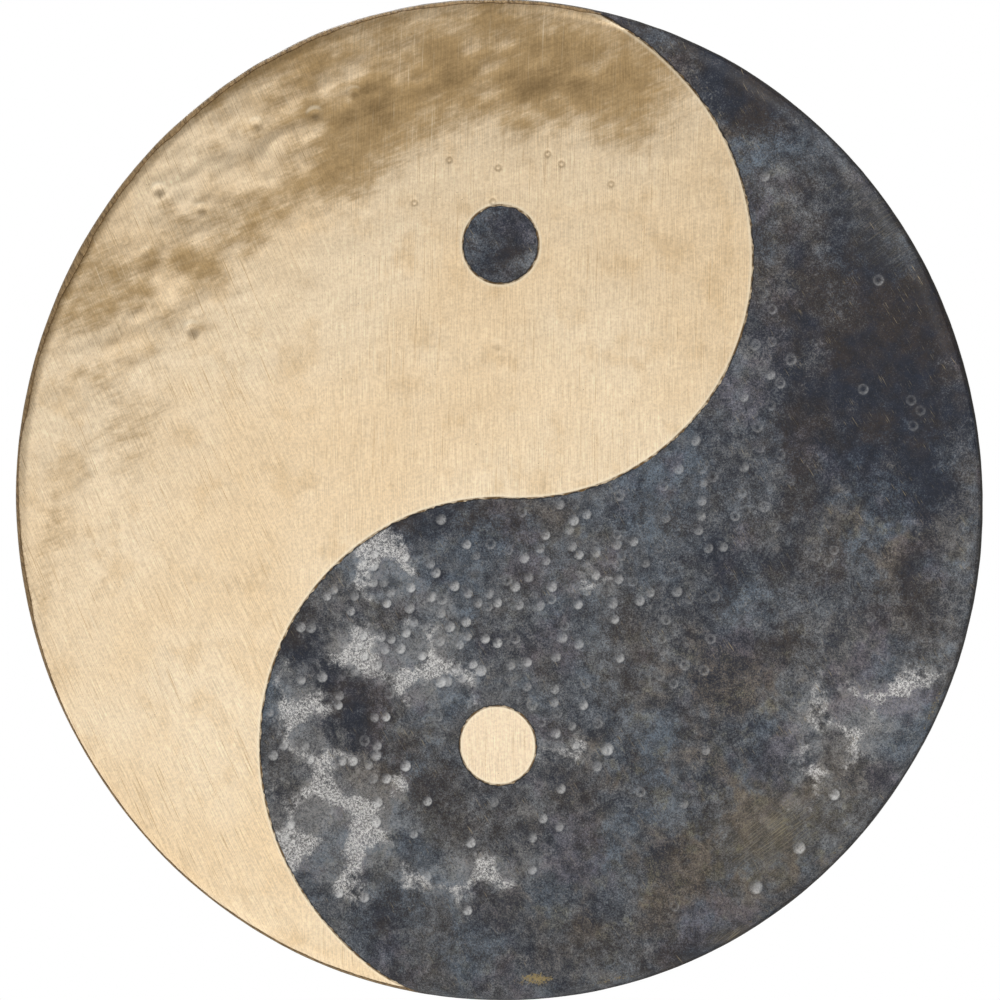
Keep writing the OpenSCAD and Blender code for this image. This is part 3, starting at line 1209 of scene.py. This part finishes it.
def cleared_facets(skin):
    """1 in the middle of each blow that cleared the powder away, lower towards its edge."""
    wander = np.column_stack([cloud(skin, 0.012, 63), cloud(skin, 0.012, 64)])
    return blows(skin + 3 * MM * wander, 0.030, 61)


def crust_fields(skin):
    """What the crust material needs to know."""
    flat = seen_flat(skin)
    past_scrape = span(skin) > SCRAPE_END + 1e-6
    far = np.abs(within_bright(skin)) / MM
    tan = rim_tan(skin)
    return {
        "bloom": patches(flat, BLOOM_AND_GLINT_PATCHES, 0.016),
        "shade": unit(patches(flat, SHADE_PATCHES, 0.016)),
        "warm": patches(flat, WARM_PATCHES, 0.016),
        "facet": cleared_facets(skin),
        "cup_light": over_marks(skin, dark_marks, 1.3, cup_light),
        "cup_shadow": over_marks(skin, dark_marks, 1.7, cup_shadow),
        "worn": patches(flat, WORN_PATCHES, 0.004) + edge_wear(skin),
        "hatch": unit(patches(flat, HATCH_PATCHES)),
        "tan": tan,
        "soot": rim_soot_and_shade(skin),
        "edge": np.where(past_scrape, NO_EDGE, far) + NO_EDGE * (beside_field(skin) + tan),
    }


def rim_tan(skin):
    """1 on the thin brown crust in front of the rim, beside the bright half."""
    s = span(skin)
    in_front = (s > scrape_end(clock(skin)) - 0.2 * MM) & (within_dark(seen_flat(skin)) < 0)
    return unit((SCRAPE_END + 6.0 * MM - s) / (4 * MM)) * in_front


def rim_soot_and_shade(skin):
    """Black that the crust turns to round the shoulder, thinner on the wall; partly painted shade that
    darkens the outline.
    """
    s = span(skin)
    on_wall = unit((s - SHOULDER_END) / (6 * MM))
    return unit((s - SCRAPE_END - 2.0 * MM) / (1.6 * MM)) * (1 - 0.45 * on_wall)


def edge_wear(skin):
    """Rubbed places all along the shoulder of the dark half."""
    s = span(skin)
    near = bell(s, FACE_END + 8 * MM, 4 * MM)
    return near * unit(0.24 + 0.34 * clouds(skin, 0.035, 95))


def beside_field(skin):
    """1 where the rim's crust and the dark field run into each other without an edge."""
    past = (clock(skin) - top_angle) % FULL_TURN
    return ((past < dark_sweep) & (within_dark(seen_flat(skin)) > 1.5 * MM)).astype(float)


def back_fields(skin):
    """What the material of the back needs to know."""
    depth, tone = nearest_blow(skin, BACK_BLOW, 41)
    return {
        "ridge": 1 - depth + 0.25 * clouds(skin, 0.08, 90),
        "tone": tone,
        "edge": (WALL_END - span(skin)) / MM,
    }


# Pieces ----------------------------------------------------

HOLE_R = 4.5 * MM
HOLE_APART = 150 * MM
HOLE_POINTS = 40
hole_s = SHOULDER_END + WALL_L / 2
hole_out = float(profile(np.array([hole_s]), EDGE_R)[0][0])
hole_angle = math.asin(HOLE_APART / 2 / hole_out)


def hole_loop(side):
    """Edge of one hanging hole."""
    t = FULL_TURN * np.arange(HOLE_POINTS) / HOLE_POINTS
    s = hole_s + HOLE_R * np.cos(t)
    angle = side * hole_angle + HOLE_R * np.sin(t) / hole_out
    return around(angle) * s[:, None]


hole_loops = [hole_loop(-1), hole_loop(1)]


def ring(s, step):
    """Closed ring of points at that place along the skin."""
    return around(sweep_angles(top_angle, FULL_TURN, s, step)) * s


def rows_beside(line, gaps):
    """Rows of points beside a line, each gap to its left in mm."""
    left = sideways(line)
    return np.vstack([line + gap * MM * left for gap in gaps])


def rows_round(loop, gaps):
    """The same beside a closed line."""
    return rows_beside(np.vstack([loop[1:], loop[:1]]), gaps)


def circle_line(circle, seed):
    """Ragged outline of a round patch, on the skin."""
    centre, radius = circle
    line = centre + radius * rays(int(FULL_TURN * radius / LOOP_STEP))
    return ragged(unroll(line), seed, 0.65 * MM)


parting = parting_line()
bright_eye_line = circle_line(BRIGHT_EYE, 51)
dark_eye_line = circle_line(DARK_EYE, 53)
dark_rim = rim_line(dark_rim_angles)
bright_rim = rim_line(bright_rim_angles)
shared_rim = np.vstack([dark_rim, bright_rim[:1]])


def field_relief(skin):
    """Front of the dark field, with its hammer marks."""
    return relief(skin) + cup_relief(skin, dark_marks)


def pressed_relief(skin):
    """Back of the dark field's crust, deep enough for the marks in its front."""
    return relief(skin) - 0.55 * MM * unit(-within_bright(skin) / (3 * MM))


def under_relief(skin):
    """The sheet with the blows on its rim, a little softer under the crust."""
    return relief(skin) + rim_relief(skin) * 0.9


def outer_relief(skin):
    """Outside of the rim's crust."""
    return relief(skin) + rim_relief(skin)


def bronze_relief(skin):
    """Bare bronze has its own marks; bronze under crust lies a little lower than the crust's back."""
    marks = cup_relief(skin, bright_dents) - RING_DEPTH * ring_mask(skin)
    lower = 0.65 * MM * unit(-within_bright(skin) / (3 * MM))
    return relief(skin) + marks + rim_relief(skin) * 0.9 - lower


def thinned(points):
    """The first of the points in each small cell."""
    cells = np.floor(points / THIN_CELL).astype(int)
    first = np.unique(cells, axis=0, return_index=True)[1]
    return points[np.sort(first)]


# In each piece rows of points run beside its edges, and the even grid starts just inside them.


def bronze_sheet(material):
    """The whole forged sheet, fine where it is bare."""
    grid = hexagons(GOLD_STEP)
    bare = grid[within_bright(grid) > 2.4 * MM]
    rows = [
        rows_beside(parting, [-0.7, -1.5, 0.8]),
        rows_beside(bright_rim, [0.9, 1.8, -1.1]),
        rows_round(bright_eye_line, [0.7, 1.5, -0.8]),
        rows_round(dark_eye_line, [-0.7, -1.5, 0.8]),
    ]
    rows = thinned(between(np.vstack(rows), 0, SKIN_END))
    covered = hidden_points(0, WALL_END)
    covered = covered[within_bright(covered) < -4 * MM]
    marked = add_marks(bare, np.vstack([bright_dents, ring_marks]))
    outer = np.vstack([marked, rows, covered, edge_rings(3 * MM, 5)])
    outer = between(outer, 0, SKIN_END - 0.4 * MM)
    inner = hidden_points(0, WALL_END - 2 * MM)
    shell(
        "bronze_sheet", material,
        [ring(SKIN_END, 3 * MM), *hole_loops],
        clear_of_holes(outer), clear_of_holes(inner),
        (CRUST_T, CRUST_T + SHEET_T),
        (bronze_relief, under_relief),
        bronze_fields, joined=True,
    )


def dark_field(material):
    """Crust of the dark half, with the round window of the bright eye."""
    loop = np.vstack([parting, bright_rim[:1], dark_rim[::-1]])
    grid = hexagons(FIELD_STEP)
    flat = seen_flat(grid)
    s = span(grid)
    inside = (within_dark(flat) > 1.9 * MM) & (s < SCRAPE_END - 1.3 * MM)
    eye_rows = rows_round(bright_eye_line, [-0.55, -1.2])
    rows = rows_beside(parting, [0.55, 1.2])
    rows = rows[span(rows) < SCRAPE_END - 0.6 * MM]
    rows = np.vstack([rows, eye_rows])
    rows = rows[inside_loops(rows, [loop, bright_eye_line])]
    outer = np.vstack([add_marks(grid[inside], dark_marks), rows])
    hidden = hidden_points(0, SCRAPE_END)
    deep = (within_dark(seen_flat(hidden)) > 2.5 * MM) & (span(hidden) < SCRAPE_END - 1.5 * MM)
    shell(
        "dark_field", material,
        [loop, bright_eye_line], outer, hidden[deep],
        (0.0, CRUST_T), (field_relief, pressed_relief), crust_fields,
        smooth=shared_rim,
    )


def dark_eye(material):
    """Round patch of crust in the bright half."""
    grid = hexagons(1.1 * MM)
    inside = within(seen_flat(grid), DARK_EYE) > 1.6 * MM
    rows = rows_round(dark_eye_line, [0.5, 1.1])
    rows = rows[inside_loops(rows, [dark_eye_line])]
    hidden = hexagons(4 * MM)
    deep = within(seen_flat(hidden), DARK_EYE) > 2 * MM
    shell(
        "dark_eye", material,
        [dark_eye_line], np.vstack([grid[inside], rows]), hidden[deep],
        (0.0, CRUST_T), (relief, relief), crust_fields,
        smooth=[],
    )


def rim_crust(material):
    """Crust of the shoulder's side and the wall, round to the inside of the edge."""
    rim_edge = ring(SKIN_END, 1.8 * MM)
    grid = hexagons(RIM_STEP)
    clear = span(grid) - scrape_end(clock(grid))
    grid = between(grid[clear > 1.9 * MM], 0, WALL_END - 0.5 * MM)
    rows = rows_beside(bright_rim, [-0.5, -1.2])
    rows = rows[span(rows) > scrape_end(clock(rows)) + 0.3 * MM]
    outer = np.vstack([grid, rows, edge_rings(1.8 * MM, 6)])
    hidden = hidden_points(0, WALL_END - 1 * MM)
    hidden = hidden[span(hidden) - scrape_end(clock(hidden)) > 2 * MM]
    inner = np.vstack([hidden, edge_rings(3 * MM, 5)])
    shell(
        "rim_crust", material,
        [rim_edge, np.vstack([dark_rim, bright_rim]), *hole_loops],
        clear_of_holes(outer), clear_of_holes(inner),
        (0.0, CRUST_T), (outer_relief, under_relief), crust_fields,
        smooth=np.vstack([rim_edge, shared_rim, *hole_loops]),
    )


def back_crust(material):
    """Crust of the back of the face and the inside of the rim."""
    outer = hidden_points(0, WALL_END - 2 * MM)
    inner = between(hexagons(BACK_STEP), 0, WALL_END - 1.8 * MM)
    shell(
        "back_crust", material,
        [ring(WALL_END, 1.8 * MM), *hole_loops],
        clear_of_holes(outer), clear_of_holes(inner),
        (CRUST_T + SHEET_T, WALL_T),
        (under_relief, lambda skin: under_relief(skin) + back_relief(skin) - 0.62 * MM),
        back_fields,
    )


bronze_sheet(bright_bronze())
dark_field(crust("slate_crust", 0.49, 0.35))
dark_eye(crust("eye_crust_paint", 0.33, 0.15))
rim_crust(crust("rim_crust_paint", 0.44, 0.45, gloss=0.07))
back_crust(back_crust_material())


# Stage, light and camera -----------------------------------

FLOOR_Z = cad_low.z - 0.20
FLOOR_R = 9.0
# the floor starts to fade into the white at this distance from the gong, and has gone at that one
FLOOR_FADES = (1.0, 2.1)
FLOOR_COLOUR = (0.86, 0.86, 0.85)
WHITE = (1.0, 1.0, 1.0)
AMBIENT = 0.40
AMBIENT_COLOUR = (1.0, 0.95, 0.87)
# azimuth and elevation seen from the gong, full and fading half angle in degrees, and strength
SOFT_BOXES = [(-17, -13, 9, 28, 0.84), (200, 20, 20, 60, 0.55), (60, 50, 10, 50, 0.5)]

# degrees from straight ahead of the face, distance and aim in metres, and lens in mm
CAMERA_AZIMUTH = 15.577
CAMERA_ELEVATION = 1.924
CAMERA_AWAY = 6.0
CAMERA_LENS = 309.0
CAMERA_AIM = Vector((0.00455, 0, 0.00025))


def direction(azimuth, elevation):
    """Direction from the gong, azimuth from straight ahead of the face towards +X, in degrees."""
    a, e = math.radians(azimuth), math.radians(elevation)
    return Vector((math.sin(a) * math.cos(e), -math.cos(a) * math.cos(e), math.sin(e)))


def look_along(thing, towards):
    """Turns a lamp or camera so that it looks that way."""
    thing.rotation_mode = "QUATERNION"
    thing.rotation_quaternion = towards.to_track_quat("-Z", "Y")


def floor():
    """Pale round floor that fades into the white surroundings."""
    mesh = bpy.data.meshes.new("floor")
    angles = np.linspace(0, FULL_TURN, 96, endpoint=False)
    rim = [(FLOOR_R * math.cos(a), FLOOR_R * math.sin(a), FLOOR_Z) for a in angles]
    mesh.from_pydata(rim, [], [range(len(rim))])
    shown("floor", mesh)
    p = Paint("floor_paint")
    away = p.node("VectorMath", {0: p.spot}, "Value", operation="LENGTH")
    pale = p.node("BsdfPrincipled", {"Base Color": FLOOR_COLOUR, "Roughness": 0.8})
    white = p.node("Emission", {})
    surface = p.node("MixShader", {0: p.ramp(away, *FLOOR_FADES), 1: pale, 2: white})
    p.node("OutputMaterial", {0: surface})
    mesh.materials.append(p.material)


def soft_box(nodes, ray, azimuth, elevation, near, far, strength):
    """Light that comes along a ray from a soft box in the surroundings."""
    inputs = {0: ray, 1: direction(azimuth, elevation)}
    facing = nodes.node("VectorMath", inputs, "Value", operation="DOT_PRODUCT")
    edge_far, edge_near = math.cos(math.radians(far)), math.cos(math.radians(near))
    return nodes.ramp(facing, edge_far, edge_near, 0.0, strength)


def surroundings():
    """Soft light from all round, brighter in front on the left, behind, and high on the right."""
    world = bpy.data.worlds.new("studio")
    bpy.context.scene.world = world
    world.use_nodes = True
    nodes = Nodes(world.node_tree)
    ray = nodes.node("TexCoord", {}, "Generated")
    front, behind, high = [soft_box(nodes, ray, *box) for box in SOFT_BOXES]
    boxes = nodes.node("Background", {"Color": WHITE, "Strength": front + behind + high})
    ambient = nodes.node("Background", {"Color": AMBIENT_COLOUR, "Strength": AMBIENT})
    light = nodes.node("AddShader", {0: boxes, 1: ambient})
    white = nodes.node("Background", {"Color": WHITE})
    seen = nodes.node("LightPath", {}, "Is Camera Ray")
    pick = nodes.node("MixShader", {0: seen, 1: light, 2: white})
    nodes.node("OutputWorld", {"Surface": pick})


def soft_light(name, spot, size, watts, warmth):
    """Square soft box aimed at the gong."""
    data = bpy.data.lights.new(name, "AREA")
    data.shape = "SQUARE"
    data.size = size
    data.energy = watts
    data.color = warmth
    lamp = shown(name, data)
    lamp.location = spot
    look_along(lamp, -Vector(spot))
    lamp.visible_camera = False


def camera():
    """Long lens a little right of the gong's axis, so that the gong looks narrower than high."""
    data = bpy.data.cameras.new("camera")
    data.lens = CAMERA_LENS
    data.sensor_width = 36
    data.clip_end = 60
    made = shown("camera", data)
    back = direction(CAMERA_AZIMUTH, CAMERA_ELEVATION)
    made.location = CAMERA_AIM + CAMERA_AWAY * back
    look_along(made, -back)
    bpy.context.scene.camera = made


floor()
surroundings()
soft_light("key", (1.5, -2.2, 2.4), 1.0, 75, (1.0, 0.98, 0.95))
soft_light("back", (-1.4, 2.6, 1.8), 1.2, 60, (1.0, 0.99, 0.97))
camera()
bpy.context.scene.view_settings.view_transform = "Standard"
